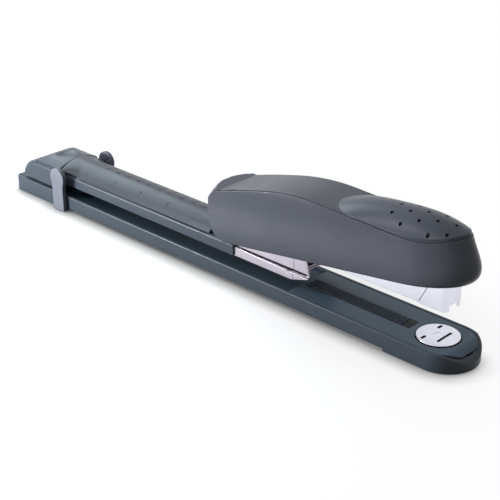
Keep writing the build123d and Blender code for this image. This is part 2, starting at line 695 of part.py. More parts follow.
spring_start_x = rod_rear_x + rod_tab + follower_spring_wire + running_gap
spring_end_x = follower_rear_x - follower_spring_wire - running_gap
with BuildPart() as follower_spring:
    with BuildLine() as follower_coil:
        Helix(pitch=follower_spring_pitch, height=spring_end_x - spring_start_x, radius=follower_spring_radius,
              center=(spring_start_x, 0, rod_z), direction=(1, 0, 0))
    with BuildSketch(Plane(origin=follower_coil.line @ 0, z_dir=follower_coil.line % 0)):
        Circle(follower_spring_wire)
    sweep(is_frenet=True)
follower_spring.part.label = "follower_spring"
export_step(follower_spring.part, "parts/follower_spring.step")

# Handle: one outer form, cut into a skirt and a top along the groove line
tilt = radians(handle_tilt)
handle_plane = Plane(origin=(pivot_x, 0, handle_foot_z), x_dir=(cos(tilt), 0, sin(tilt)),
                     z_dir=(-sin(tilt), 0, cos(tilt)))


def handle_outline(height, half, front, inset):
    """The handle's plan at a height above its lower edge: straight sides and an oval front."""
    centre = front - handle_nose
    half = half - inset
    with BuildSketch(handle_plane.offset(height)) as sketch:
        with BuildLine():
            Polyline((centre, half), (-base_width, half), (-base_width, -half), (centre, -half))
            EllipticalCenterArc((centre, 0), handle_nose - inset, half, -90, arc_size=180)
        make_face()
    return sketch.sketch


def ring_stack(rings, inset=0.0):
    """The plan outlines of a stack of rings, ready to loft."""
    return [handle_outline(height, half, front, inset) for height, half, front in rings]


def dome_face(x, half, shoulder, crown):
    """What lies below the thumb dome at x: level shoulders and an arched middle."""
    with BuildSketch(Plane.YZ.offset(x)) as sketch:
        with BuildLine():
            ThreePointArc((-half, shoulder), (0, crown), (half, shoulder))
            Polyline((half, shoulder), (dome_span, shoulder), (dome_span, 0), (-dome_span, 0),
                     (-dome_span, shoulder), (-half, shoulder))
        make_face()
    return sketch.sketch


def dome_stack(drop):
    """The sections under the thumb dome, lowered by drop, ready to loft."""
    return [dome_face(x, half, shoulder - drop, crown - drop) for x, half, shoulder, crown in dome_stations]


def groove_side(lift, level):
    """The side view between the groove line, raised by lift, and a level line, drawn beside the handle."""
    points = [(x, z + lift) for x, z in groove_line]
    with BuildSketch(Plane.XZ.offset(-base_width)) as sketch:
        with BuildLine():
            Spline(*points)
            Polyline(points[-1], (points[-1][0], level), (points[0][0], level), points[0])
        make_face()
    return sketch.sketch


def rear_waste(inset):
    """What lies behind the handle's rear end, in the side view: round below the pivot, upright above it."""
    radius = handle_rear_radius - inset
    with BuildSketch(Plane.XZ) as sketch:
        with Locations((pivot_x - beyond / 2, pivot_z)):
            Rectangle(beyond, beyond)
        with Locations((pivot_x, pivot_z)):
            Circle(radius, mode=Mode.SUBTRACT)
        with Locations((pivot_x - radius / 2, pivot_z + beyond / 2)):
            Rectangle(radius, beyond, mode=Mode.SUBTRACT)
    return sketch.sketch


def under_crown(drop):
    """Everything below the handle's upper surface, lowered by drop, added to the current part."""
    loft(sections=dome_stack(drop))
    extrude(groove_side(flat_rise - drop, 0), amount=2 * base_width)
    box_between(-base_width, rear_ledge_x, -base_width, base_width, 0, rear_ledge_top - drop)


def outside_ball(inset):
    """What lies outside the ball that rounds the rear corners, drawn in by inset, added to the current part."""
    box_between(-base_width, rear_ball_x, -base_width, base_width, rear_ball_z, beyond)
    with Locations((rear_ball_x, 0, rear_ball_z)):
        Sphere(rear_ball_radius - inset, mode=Mode.SUBTRACT)


def handle_block(inset):
    """The handle's outer form, drawn in by inset, added to the current part."""
    loft(sections=ring_stack(outer_rings, inset))
    add(crown_form.part, mode=Mode.INTERSECT)
    extrude(rear_waste(inset), amount=base_width, both=True, mode=Mode.SUBTRACT)
    add(rear_corners.part, mode=Mode.SUBTRACT)


with BuildPart() as crown_form:
    under_crown(0)

with BuildPart() as crown_hollow:
    under_crown(crown_shell)

with BuildPart() as rear_corners:
    outside_ball(0)

with BuildPart() as hollow_corners:
    outside_ball(handle_wall)

with BuildPart() as handle_form:
    handle_block(0)

with BuildPart() as handle_hollow:
    loft(sections=ring_stack(hollow_rings))
    extrude(rear_waste(handle_wall), amount=base_width, both=True, mode=Mode.SUBTRACT)
    add(hollow_corners.part, mode=Mode.SUBTRACT)

# Skirt: side walls and front of the handle, open below and behind where the arm passes
arm_pass_half = arm_width / 2 + arm_pass_gap
arm_pass_top = 41.5
with BuildPart() as handle_skirt:
    add(handle_form.part)
    add(handle_hollow.part, mode=Mode.SUBTRACT)
    extrude(groove_side(-groove_gap, beyond), amount=2 * base_width, mode=Mode.SUBTRACT)
    box_between(-base_width, pivot_x, -arm_pass_half, arm_pass_half, 0, arm_pass_top, Mode.SUBTRACT)
handle_skirt.part.label = "handle_skirt"
export_step(handle_skirt.part, "parts/handle_skirt.step")

# Top: the domed lid, a step in from the skirt, with vent holes, a lip inside the skirt and two screw posts
with BuildPart() as top_form:
    handle_block(crease_step)
    upper_edges = [edge for edge in top_form.edges()
                   if edge.length > shortest_rounded and edge.bounding_box().min.Z > rear_ledge_top - 1
                   and (abs(edge.center().Y) > shoulder_y or edge.bounding_box().min.X > front_edge_x)]
    fillet(upper_edges, top_edge_round)

with BuildPart() as handle_lip:
    loft(sections=ring_stack(hollow_rings, slip_gap))
    extrude(groove_side(groove_gap * 2, beyond), amount=2 * base_width, mode=Mode.SUBTRACT)
    extrude(groove_side(-lip_height, 0), amount=2 * base_width, mode=Mode.SUBTRACT)
    extrude(rear_waste(handle_wall + slip_gap), amount=base_width, both=True, mode=Mode.SUBTRACT)
    add(hollow_corners.part, mode=Mode.SUBTRACT)

with BuildPart() as dome_hollow:
    loft(sections=ring_stack(hollow_rings, handle_wall))
    add(crown_hollow.part, mode=Mode.INTERSECT)
    extrude(groove_side(-lip_height - 1, 0), amount=2 * base_width, mode=Mode.SUBTRACT)
    extrude(rear_waste(2 * handle_wall), amount=base_width, both=True, mode=Mode.SUBTRACT)
    add(hollow_corners.part, mode=Mode.SUBTRACT)

with BuildPart() as handle_top:
    add(top_form.part)
    extrude(groove_side(groove_gap, 0), amount=2 * base_width, mode=Mode.SUBTRACT)
    add(handle_lip.part)
    add(dome_hollow.part, mode=Mode.SUBTRACT)
    for x, web_top, roof in frame_screw_spots:
        post(x, 0, screw_boss_radius, web_top + slip_gap, roof)
        post(x, 0, screw_radius + running_gap, web_top, web_top + frame_screw_reach + hole_gap, Mode.SUBTRACT)
    for column in range(vent_columns):
        row_count = 3 + column % 2
        for row in range(row_count):
            vent_y = (2 * row - row_count + 1) * vent_step_y
            post(vent_start_x + column * vent_step_x, vent_y, vent_radius, rear_ledge_top + lip_height * 8, beyond,
                 Mode.SUBTRACT)
handle_top.part.label = "handle_top"
export_step(handle_top.part, "parts/handle_top.step")

# Handle frame: the steel lever inside the handle, with the flange that holds the driver
press_tilt = radians(press_angle)
driver_plane = Plane(origin=(pivot_x, 0, pivot_z), x_dir=(cos(press_tilt), 0, sin(press_tilt)), z_dir=(0, -1, 0))
driver_rear = driver_x - pivot_x - driver_thickness / 2


def lever_face(drop):
    """The frame's side view, lowered by drop."""
    return side_face(*[(x, z - drop) for x, z in frame_top + frame_bottom])


def driver_face(rear, front, low, high):
    """An upright plate in the driver's tilted plane."""
    with BuildSketch(driver_plane) as sketch:
        with BuildLine():
            Polyline((rear, low), (front, low), (front, high), (rear, high), close=True)
        make_face()
    return sketch.sketch


with BuildPart() as handle_frame:
    extrude(lever_face(0), amount=frame_half, both=True)
    extrude(lever_face(sheet), amount=frame_half - sheet, both=True, mode=Mode.SUBTRACT)
    for side in (-1, 1):
        cross_pin(pivot_x, pivot_z, frame_ear_radius, *sorted((side * frame_half, side * (frame_half - sheet))))
        cheek_middle = Location((0, side * (frame_half - sheet / 2), 0))
        extrude(side_face(*frame_cheek).moved(cheek_middle), amount=sheet / 2, both=True)
    extrude(driver_face(driver_rear - sheet, driver_rear - press_gap, flange_low, flange_high), amount=frame_half,
            both=True)
    cross_pin(pivot_x, pivot_z, pin_radius + running_gap, -base_width, base_width, Mode.SUBTRACT)
    for x, web_top, roof in frame_screw_spots:
        post(x, 0, screw_radius + 2 * hole_gap, web_top - 3 * sheet, web_top + 3 * sheet, Mode.SUBTRACT)
handle_frame.part.label = "handle_frame"
export_step(handle_frame.part, "parts/handle_frame.step")

with BuildPart() as frame_screws:
    for x, web_top, roof in frame_screw_spots:
        head_top = web_top - sheet - slip_gap
        post(x, 0, screw_radius, head_top - screw_head_height, web_top + frame_screw_reach)
        post(x, 0, screw_head_radius, head_top - screw_head_height, head_top)
frame_screws.part.label = "frame_screws"
export_step(frame_screws.part, "parts/frame_screws.step")

# Driver: the blade that pushes one staple out
with BuildPart() as driver_blade:
    extrude(driver_face(driver_rear, driver_rear + driver_thickness, driver_low, driver_high), amount=driver_half,
            both=True)
driver_blade.part.label = "driver_blade"
export_step(driver_blade.part, "parts/driver_blade.step")

# Handle spring: a leaf under the frame that bears on the magazine's walls
with BuildPart() as handle_spring:
    extrude(side_face(*leaf_side), amount=leaf_half, both=True)
    post(frame_screw_spots[0][0], 0, leaf_hole_radius, magazine_bottom, beyond, Mode.SUBTRACT)
handle_spring.part.label = "handle_spring"
export_step(handle_spring.part, "parts/handle_spring.step")

# Paper stop: a saddle that slides along the base and straddles it
stop_head_z = stop_top - stop_head_radius
with BuildPart() as paper_stop:
    with BuildSketch(Plane.XZ) as stop_side:
        with Locations((stop_x, (stop_bottom + stop_head_z) / 2)):
            Rectangle(stop_neck, stop_head_z - stop_bottom)
        with Locations((stop_x, stop_head_z)):
            Circle(stop_head_radius)
        fillet(stop_side.vertices().group_by(Axis.Y)[1], stop_neck_round)
    extrude(amount=stop_outer_half, both=True)
    box_between(stop_x - base_width, stop_x + base_width, -stop_inner_half, stop_inner_half, stop_bar_top, beyond,
                Mode.SUBTRACT)
paper_stop.part.label = "paper_stop"
export_step(paper_stop.part, "parts/paper_stop.step")
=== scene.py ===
"""Long-arm stapler: the finish of every piece, and the small parts that the solids leave out."""

import json
import math

import bmesh
import bpy
from bpy.props import FloatProperty, FloatVectorProperty, IntProperty, PointerProperty
from mathutils import Color, Matrix, Vector
from mathutils.bvhtree import BVHTree

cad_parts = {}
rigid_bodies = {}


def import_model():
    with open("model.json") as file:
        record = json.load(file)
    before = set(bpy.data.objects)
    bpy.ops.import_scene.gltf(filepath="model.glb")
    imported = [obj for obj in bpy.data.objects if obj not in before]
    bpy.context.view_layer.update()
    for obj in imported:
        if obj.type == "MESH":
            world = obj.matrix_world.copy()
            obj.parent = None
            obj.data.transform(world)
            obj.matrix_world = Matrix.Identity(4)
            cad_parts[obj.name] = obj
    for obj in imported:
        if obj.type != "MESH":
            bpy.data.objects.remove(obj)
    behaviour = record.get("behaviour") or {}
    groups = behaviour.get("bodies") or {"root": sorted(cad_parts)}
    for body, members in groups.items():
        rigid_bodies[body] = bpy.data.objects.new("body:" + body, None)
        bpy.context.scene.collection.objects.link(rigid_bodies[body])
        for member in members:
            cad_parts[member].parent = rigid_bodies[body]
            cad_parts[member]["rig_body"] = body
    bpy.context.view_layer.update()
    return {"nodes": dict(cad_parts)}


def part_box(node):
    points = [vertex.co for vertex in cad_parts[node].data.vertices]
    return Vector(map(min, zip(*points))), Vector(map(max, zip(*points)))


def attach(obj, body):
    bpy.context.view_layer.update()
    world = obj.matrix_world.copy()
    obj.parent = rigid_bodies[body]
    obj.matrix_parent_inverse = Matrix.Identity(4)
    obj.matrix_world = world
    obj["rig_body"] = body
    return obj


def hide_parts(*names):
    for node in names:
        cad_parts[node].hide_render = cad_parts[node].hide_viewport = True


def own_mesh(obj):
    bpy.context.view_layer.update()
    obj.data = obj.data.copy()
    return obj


bl_info = {
    "name": "Long-arm Stapler",
    "version": (1, 0, 0),
    "blender": (4, 5, 0),
    "location": "View3D > Sidebar > Stapler",
    "description": "Dresses the solids of a long-arm stapler with finishes, markings and small parts",
    "category": "Object",
}

for leftover in list(bpy.data.objects):
    bpy.data.objects.remove(leftover)
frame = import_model()
node_slots = {name: solid.data.materials[0].name.split(".")[0] for name, solid in frame["nodes"].items()}

MM = 0.001
SHARP_ANGLE = math.radians(28)
FLAT_ANGLE = math.radians(0.3)
MERGE_DISTANCE = 1e-6

# How often the patterns of the finishes repeat in a metre
GRAIN = 2600.0
PAINT_GRAIN = 1800.0
RUBBER_GRAIN = 3500.0
CLOUD = 45.0
FLECK = 900.0
STAIN = 70.0
LINES_ALONG = 60.0
LINES_ACROSS = 3000.0

# The part of its 0 to 1 that a noise mostly stays in
NOISE_SPAN = (0.3, 0.7)


def paint(red, green, blue):
    """A colour as it is read off a picture, 0 to 255, in the values that a shader takes."""
    return tuple(Color((red / 255, green / 255, blue / 255)).from_srgb_to_scene_linear())


def colour_property(name, description, red, green, blue):
    """A colour that the sidebar shows."""
    return FloatVectorProperty(name=name, description=description, subtype="COLOR", size=3, min=0, max=1,
                               default=paint(red, green, blue))


def length_property(name, description, millimetres):
    """A length that the sidebar shows, held in metres."""
    return FloatProperty(name=name, description=description, unit="LENGTH", subtype="DISTANCE",
                         default=millimetres * MM, min=0, precision=5)


def angle_property(name, description, degrees):
    """A turn that the sidebar shows."""
    return FloatProperty(name=name, description=description, subtype="ANGLE", default=math.radians(degrees))


def power_property(name, description, watts):
    """A lamp's power that the sidebar shows."""
    return FloatProperty(name=name, description=description, unit="POWER", default=watts, min=0)


def share_property(name, description, share):
    """A level from 0 to 1 that the sidebar shows."""
    return FloatProperty(name=name, description=description, subtype="FACTOR", default=share, min=0, max=1)


class StaplerColours(bpy.types.PropertyGroup):
    """Colours of the stapler's finishes."""
    body: colour_property("Body", "Satin slate plastic of the base and the rear", 60, 69, 79)
    handle: colour_property("Handle", "Satin slate plastic of the handle", 75, 79, 89)
    # Painted shade: the handle's plastic made darker on its top, where the lamps light it more
    crown: colour_property("Handle top", "Satin slate plastic of the handle's top", 66, 71, 82)
    cover: colour_property("Arm cover", "Satin slate plastic of the arm's cover", 59, 66, 76)
    stop: colour_property("Paper stop", "Lilac-grey plastic of the sliding paper stop", 104, 109, 122)
    table: colour_property("Table", "Blue-grey plastic of the front table", 66, 84, 99)
    deck: colour_property("Deck", "Dark paint on the base's steel deck", 46, 67, 82)
    arm: colour_property("Arm", "Slate paint on the arm's steel channel", 54, 64, 75)
    mark: colour_property("Ruler", "Dark print of the ruler's marks", 24, 26, 32)
    seam: colour_property("Seams", "Dark sealer in the seams", 46, 40, 46)
    # Painted shadow: the seam pieces are dark strips that stand in for the shade in the seams
    inner: colour_property("Inner plastic", "Dark plastic of the parts inside", 34, 38, 44)
    bush: colour_property("Bushes", "Pale plastic of the pivot bushes", 196, 194, 184)
    rubber: colour_property("Strip", "Near-black ribbed rubber strip", 54, 68, 80)
    feet: colour_property("Feet", "Black rubber of the feet", 22, 23, 26)
    zinc: colour_property("Zinc", "Bright zinc on pressed steel", 180, 173, 184)
    nickel: colour_property("Nickel", "Bright nickel on magazine, nose and anvil", 220, 221, 232)
    spring: colour_property("Spring steel", "Grey spring steel", 150, 152, 158)
    fastener: colour_property("Fasteners", "Plated screws, rivets and pins", 172, 174, 182)
    staple: colour_property("Staples", "Bright drawn wire", 205, 206, 212)


class StaplerSizes(bpy.types.PropertyGroup):
    """Sizes of the edges, the staples and the markings."""
    sheet_edge: length_property("Sheet edge", "Rounding of sheet metal and of thin-walled mouldings", 0.25)
    arm_edge: length_property("Arm edge", "Rounding along the edges of the arm's painted channel", 0.5)
    table_edge: length_property("Table edge", "Rounding along the rim of the front table", 0.5)
    moulded_edge: length_property("Moulded edge", "Rounding along the edges of the paper stop", 0.45)
    rib_edge: length_property("Rib edge", "Rounding along the ribs of the rubber strip", 0.2)
    wire: length_property("Staple wire", "Thickness of one staple's wire", 0.5)
    staple_pitch: length_property("Staple pitch", "From one staple to the next in the stick", 0.58)
    staple_bend: length_property("Staple bend", "Outer radius of a staple's corners", 0.9)
    centimetre: length_property("Centimetre", "From one centimetre mark to the next", 10.1)
    inch: length_property("Inch", "From one inch mark to the next", 25.65)
    ruler_zero: length_property("Ruler zero", "Where both scales would read nought, along X", 164.6)
    figure: length_property("Figure height", "Height of the ruler's figures", 3.9)
    mark_width: length_property("Mark width", "Width of the ruler's lines", 0.8)
    mark_rise: length_property("Mark rise", "How far the print stands on the cover", 0.03)
    stop_rib: length_property("Stop rib", "Width of a grip rib inside the paper stop's heads", 1.0)
    stop_ribs: IntProperty(name="Stop ribs", description="Grip ribs inside each head of the paper stop",
                           default=5, min=1)


class StaplerStage(bpy.types.PropertyGroup):
    """Camera and light."""
    azimuth: angle_property("Azimuth", "Camera's turn round the stapler", 43.57)
    elevation: angle_property("Elevation", "Camera's height above the horizon", 26.08)
    distance: length_property("Distance", "From the camera to the point that it looks at", 720.86)
    target: FloatVectorProperty(name="Target", description="Point that the camera looks at", size=3,
                                subtype="XYZ", unit="LENGTH", default=(0.02992, -0.00732, 0.020))
    lens: FloatProperty(name="Lens", description="Focal length in millimetres on a 36 mm frame",
                        default=86.4, min=1)
    key: power_property("Key light", "Power of the low light at the near left", 5.3)
    edge: power_property("Edge light", "Power of the light that picks out the edges", 2.3)
    crease: power_property("Crease light", "Power of the light along the handle's crease", 1.0)
    top: power_property("Top light", "Power of the wide light at the rear", 3.6)
    bright_side: share_property("Bright side", "Room's light from the far left", 0.75)
    dark_side: share_property("Dark side", "Room's light from the near right", 0.02)
    lift: share_property("Floor lift", "Light that brings the floor up to white", 0.12)
    paper: share_property("Floor paper", "Brightness of the floor beside the stapler", 0.95)
    bounce: share_property("Floor bounce", "Share of light that the floor throws back", 0.14)


def feed(tree, source, socket):
    """Sets a socket to a plain value, or links it to another node's output."""
    if isinstance(source, bpy.types.NodeSocket):
        tree.links.new(source, socket)
    else:
        socket.default_value = source


def calc(tree, operation, first, second=0.5):
    """A sum on two values, each a number or an output."""
    node = tree.nodes.new("ShaderNodeMath")
    node.operation = operation
    feed(tree, first, node.inputs[0])
    feed(tree, second, node.inputs[1])
    return node.outputs["Value"]


def map_range(tree, value, start, stop, low, high):
    """Turns a value that runs from start to stop into one that runs from low to high."""
    span = tree.nodes.new("ShaderNodeMapRange")
    feed(tree, value, span.inputs["Value"])
    feed(tree, start, span.inputs["From Min"])
    feed(tree, stop, span.inputs["From Max"])
    feed(tree, low, span.inputs["To Min"])
    feed(tree, high, span.inputs["To Max"])
    return span.outputs["Result"]


def object_place(tree):
    """The place of a point of the surface."""
    return tree.nodes.new("ShaderNodeTexCoord").outputs["Object"]


def split_place(tree):
    """The place of a point of the surface, axis by axis."""
    split = tree.nodes.new("ShaderNodeSeparateXYZ")
    tree.links.new(object_place(tree), split.inputs["Vector"])
    return split.outputs


def add_noise(tree, vector, scale, detail, roughness=0.5):
    """A noise on a vector, at a scale that is a number or an output."""
    noise = tree.nodes.new("ShaderNodeTexNoise")
    noise.inputs["Detail"].default_value = detail
    noise.inputs["Roughness"].default_value = roughness
    tree.links.new(vector, noise.inputs["Vector"])
    feed(tree, scale, noise.inputs["Scale"])
    return noise.outputs["Fac"]


def node_group(name, inputs, outputs):
    """An empty shader node group with value sockets, and its two end nodes."""
    group = bpy.data.node_groups.new(name, "ShaderNodeTree")
    for label, default in inputs:
        socket = group.interface.new_socket(label, in_out="INPUT", socket_type="NodeSocketFloat")
        socket.default_value = default
    for label in outputs:
        group.interface.new_socket(label, in_out="OUTPUT", socket_type="NodeSocketFloat")
    return group, group.nodes.new("NodeGroupInput"), group.nodes.new("NodeGroupOutput")


def moulded_grain():
    """Spark-eroded grain of moulded plastic, the clouds in its gloss and the flecks in its colour."""
    name = "moulded grain"
    if name in bpy.data.node_groups:
        return bpy.data.node_groups[name]
    inputs = [("Grain", GRAIN), ("Cloud", CLOUD)]
    group, start, end = node_group(name, inputs, ["Height", "Cloud", "Fleck"])
    place = object_place(group)
    grain = add_noise(group, place, start.outputs["Grain"], detail=3.0, roughness=0.6)
    cloud = add_noise(group, place, start.outputs["Cloud"], detail=2.0)
    fleck = add_noise(group, place, FLECK, detail=4.0, roughness=0.7)
    group.links.new(grain, end.inputs["Height"])
    group.links.new(cloud, end.inputs["Cloud"])
    group.links.new(fleck, end.inputs["Fleck"])
    return group


def rolled_lines():
    """Long fine lines that rolling and brushing leave along sheet metal, and slow stains across it."""
    name = "rolled lines"
    if name in bpy.data.node_groups:
        return bpy.data.node_groups[name]
    inputs = [("Along X", LINES_ALONG), ("Along Y", LINES_ACROSS), ("Along Z", LINES_ACROSS)]
    group, start, end = node_group(name, inputs, ["Height", "Stain"])
    place = object_place(group)
    stretch = group.nodes.new("ShaderNodeCombineXYZ")
    for axis in "XYZ":
        group.links.new(start.outputs[f"Along {axis}"], stretch.inputs[axis])
    scaled = group.nodes.new("ShaderNodeVectorMath")
    scaled.operation = "MULTIPLY"
    group.links.new(place, scaled.inputs[0])
    group.links.new(stretch.outputs["Vector"], scaled.inputs[1])
    lines = add_noise(group, scaled.outputs["Vector"], 1.0, detail=2.0)
    stain = add_noise(group, place, STAIN, detail=3.0)
    group.links.new(lines, end.inputs["Height"])
    group.links.new(stain, end.inputs["Stain"])
    return group


def new_material(name):
    """A material with a Principled shader, and the parts of it that the finishes use."""
    material = bpy.data.materials.new(name)
    material.use_nodes = True
    tree = material.node_tree
    return material, tree, tree.nodes["Principled BSDF"]


def add_group(tree, group, **values):
    """A node group placed in a material with its own values."""
    node = tree.nodes.new("ShaderNodeGroup")
    node.node_tree = group
    for label, value in values.items():
        node.inputs[label.replace("_", " ")].default_value = value
    return node


def link_range(tree, source, target, middle, spread):
    """Runs a noise into a socket as a range round the finish's own value."""
    tree.links.new(map_range(tree, source, *NOISE_SPAN, middle - spread, middle + spread), target)


def link_tint(tree, source, target, colour, spread):
    """Runs a noise into a colour socket as the colour, a little darker to a little lighter."""
    ramp = tree.nodes.new("ShaderNodeValToRGB")
    dark, light = ramp.color_ramp.elements
    dark.position, light.position = NOISE_SPAN
    dark.color = (*[c * (1 - spread) for c in colour], 1)
    light.color = (*[min(1, c * (1 + spread)) for c in colour], 1)
    tree.links.new(source, ramp.inputs["Fac"])
    tree.links.new(ramp.outputs["Color"], target)


def link_bump(tree, height, normal, depth, strength):
    """Runs a height into a normal socket through a bump of a real depth, over any bump that is there."""
    bump = tree.nodes.new("ShaderNodeBump")
    bump.inputs["Strength"].default_value = strength
    bump.inputs["Distance"].default_value = depth * MM
    tree.links.new(height, bump.inputs["Height"])
    if normal.is_linked:
        tree.links.new(normal.links[0].from_socket, bump.inputs["Normal"])
    tree.links.new(bump.outputs["Normal"], normal)


def plastic(name, colour, roughness, specular, grain=GRAIN, depth=0.02):
    """Moulded plastic, rubber or paint: fine grain, cloudy gloss and faint flecks of colour."""
    material, tree, shader = new_material(name)
    pattern = add_group(tree, moulded_grain(), Grain=grain)
    link_tint(tree, pattern.outputs["Fleck"], shader.inputs["Base Color"], colour, spread=0.06)
    link_range(tree, pattern.outputs["Cloud"], shader.inputs["Roughness"], roughness, spread=0.04)
    link_bump(tree, pattern.outputs["Height"], shader.inputs["Normal"], depth, strength=0.25)
    shader.inputs["Specular IOR Level"].default_value = specular
    return material


def metal(name, colour, roughness, along="X"):
    """Bare or plated metal: fine lines along one axis, with slow stains in its colour and gloss."""
    material, tree, shader = new_material(name)
    scales = {f"Along_{axis}": LINES_ALONG if axis == along else LINES_ACROSS for axis in "XYZ"}
    pattern = add_group(tree, rolled_lines(), **scales)
    link_tint(tree, pattern.outputs["Stain"], shader.inputs["Base Color"], colour, spread=0.05)
    link_range(tree, pattern.outputs["Height"], shader.inputs["Roughness"], roughness, spread=0.05)
    link_bump(tree, pattern.outputs["Height"], shader.inputs["Normal"], depth=0.004, strength=0.2)
    shader.inputs["Metallic"].default_value = 1.0
    return material


def stamped(material, top, depth, shade):
    """Paints shade into a finish below its top face, darker down in its grooves."""
    tree = material.node_tree
    colour = tree.nodes["Principled BSDF"].inputs["Base Color"]
    unshaded = colour.links[0].from_socket
    fade = map_range(tree, split_place(tree)["Z"], (top - depth) * MM, top * MM, shade, 1.0)
    painted_shade = tree.nodes.new("ShaderNodeVectorMath")
    painted_shade.operation = "SCALE"
    tree.links.new(unshaded, painted_shade.inputs[0])
    tree.links.new(fade, painted_shade.inputs["Scale"])
    tree.links.new(painted_shade.outputs["Vector"], colour)
    return material


def hatched(material, start, full, pitch, depth):
    """Adds slanting grip lines to a plastic, from the height where they start to where they are full."""
    tree = material.node_tree
    place = split_place(tree)
    slant = calc(tree, "ADD", place["X"], place["Z"])
    wave = calc(tree, "SINE", calc(tree, "MULTIPLY", slant, math.tau / (pitch * MM)))
    fade = map_range(tree, place["Z"], start * MM, full * MM, 0.0, 1.0)
    ridge = calc(tree, "MULTIPLY", wave, fade)
    link_bump(tree, ridge, tree.nodes["Principled BSDF"].inputs["Normal"], depth, strength=0.6)
    return material


def stop_plastic(title, colours):
    """The paper stop's plastic, with grip lines on its heads."""
    moulded = plastic(title, colours.stop, roughness=0.45, specular=0.3)
    return hatched(moulded, start=23.0, full=26.0, pitch=1.5, depth=0.12)


def strip_rubber(title, colours):
    """The strip's rubber, with painted shade between its ribs."""
    moulded = plastic(title, colours.rubber, roughness=0.65, specular=0.3, grain=RUBBER_GRAIN, depth=0.05)
    return stamped(moulded, top=11.4, depth=0.4, shade=0.15)


def anvil_steel(title, colours):
    """The anvil's nickel, with painted shade in its slots."""
    plated = metal(title, colours.nickel, roughness=0.30, along="Y")
    return stamped(plated, top=11.35, depth=0.15, shade=0.04)


def finish(name):
    """A finish by its name: one of the record's material slots, or one that only the scene has."""
    title = f"{name} finish"
    colours = bpy.context.scene.stapler_colours
    painted = {"grain": PAINT_GRAIN, "depth": 0.03}
    makers = {
        "body_plastic": lambda: plastic(title, colours.body, roughness=0.32, specular=0.2),
        "cover_plastic": lambda: plastic(title, colours.cover, roughness=0.34, specular=0.25),
        "handle_plastic": lambda: plastic(title, colours.handle, roughness=0.32, specular=0.2),
        # Painted shade: a darker copy of the handle's plastic for its lit top
        "crown_plastic": lambda: plastic(title, colours.crown, roughness=0.32, specular=0.2),
        "stop_plastic": lambda: stop_plastic(title, colours),
        "dark_plastic": lambda: plastic(title, colours.inner, roughness=0.45, specular=0.3),
        "bush_plastic": lambda: plastic(title, colours.bush, roughness=0.40, specular=0.4),
        "dark_steel": lambda: plastic(title, colours.arm, roughness=0.40, specular=0.3, **painted),
        "deck_paint": lambda: plastic(title, colours.deck, roughness=0.50, specular=0.2, **painted),
        "table_plastic": lambda: plastic(title, colours.table, roughness=0.38, specular=0.2),
        "strip_rubber": lambda: strip_rubber(title, colours),
        "foot_rubber": lambda: plastic(title, colours.feet, roughness=0.80, specular=0.2,
                                       grain=RUBBER_GRAIN, depth=0.05),
        "zinc_steel": lambda: metal(title, colours.zinc, roughness=0.34),
        "nickel_steel": lambda: metal(title, colours.nickel, roughness=0.26),
        "anvil_steel": lambda: anvil_steel(title, colours),
        "spring_steel": lambda: metal(title, colours.spring, roughness=0.35),
        "fastener_steel": lambda: metal(title, colours.fastener, roughness=0.30),
        "staple_steel": lambda: metal(title, colours.staple, roughness=0.25, along="Y"),
        "ruler_print": lambda: plastic(title, colours.mark, roughness=0.60, specular=0.2),
        # Painted shadow for the dark strips in the seams
        "seam_sealer": lambda: plastic(title, colours.seam, roughness=0.60, specular=0.2),
    }
    return bpy.data.materials.get(title) or makers[name]()


OWN_FINISHES = {"arm_cover": "cover_plastic", "base_deck": "deck_paint", "front_table": "table_plastic",
                "handle_top": "crown_plastic", "anvil_disc": "anvil_steel", "anvil_stud": "nickel_steel"}


def node_finish(node):
    """The finish of a CAD node: its slot's, unless the scene has a finer one for it."""
    return finish(OWN_FINISHES.get(node, node_slots[node]))


def add_piece(name, shape, body, material):
    """Turns a bmesh into a smooth-shaded piece that rides on a body."""
    mesh = bpy.data.meshes.new(name)
    for face in shape.faces:
        face.smooth = True
    shape.to_mesh(mesh)
    shape.free()
    mesh.materials.append(material)
    piece = bpy.data.objects.new(name, mesh)
    bpy.context.scene.collection.objects.link(piece)
    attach(piece, body)
    return piece


def picked(parts, kind):
    """The parts of one kind out of what a bmesh operator made."""
    return [part for part in parts if isinstance(part, kind)]


def open_edges(shape):
    """The edges that have a face on one side only."""
    return [edge for edge in shape.edges if edge.is_boundary]


def close_pocket(shape, low, high, slack=0.1, upward=0.1):
    """Takes the walls of a pocket out of a solid and closes its openings.

    A wall lies between two corners in millimetres, give or take the slack, and doesn't face upward.
    """
    walls = []
    for face in shape.faces:
        corners = [vert.co / MM for vert in face.verts]
        within = all(a - slack < place < b + slack for co in corners for a, place, b in zip(low, co, high))
        if within and face.normal.z < upward:
            walls.append(face)
    bmesh.ops.delete(shape, geom=walls, context="FACES")
    bmesh.ops.holes_fill(shape, edges=open_edges(shape))


def soften(node, width, pocket=None):
    """Stands a copy of a CAD solid in its place, with the hard edges rounded and a pocket closed."""
    solid = frame["nodes"][node]
    shape = bmesh.new()
    shape.from_mesh(solid.data)
    bmesh.ops.remove_doubles(shape, verts=shape.verts, dist=MERGE_DISTANCE)
    if pocket:
        close_pocket(shape, *pocket)
    bmesh.ops.dissolve_limit(shape, angle_limit=FLAT_ANGLE, verts=shape.verts, edges=shape.edges)
    hard = [edge for edge in shape.edges if edge.is_manifold and edge.calc_face_angle() > SHARP_ANGLE]
    bmesh.ops.bevel(shape, geom=hard, offset=width, offset_type="OFFSET", affect="EDGES", segments=2,
                    profile=0.5, material=-1, clamp_overlap=False, loop_slide=True)
    piece = add_piece(f"{node}_soft", shape, solid["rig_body"], node_finish(node))
    weighted = piece.modifiers.new("even shading", "WEIGHTED_NORMAL")
    weighted.keep_sharp = True
    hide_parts(node)


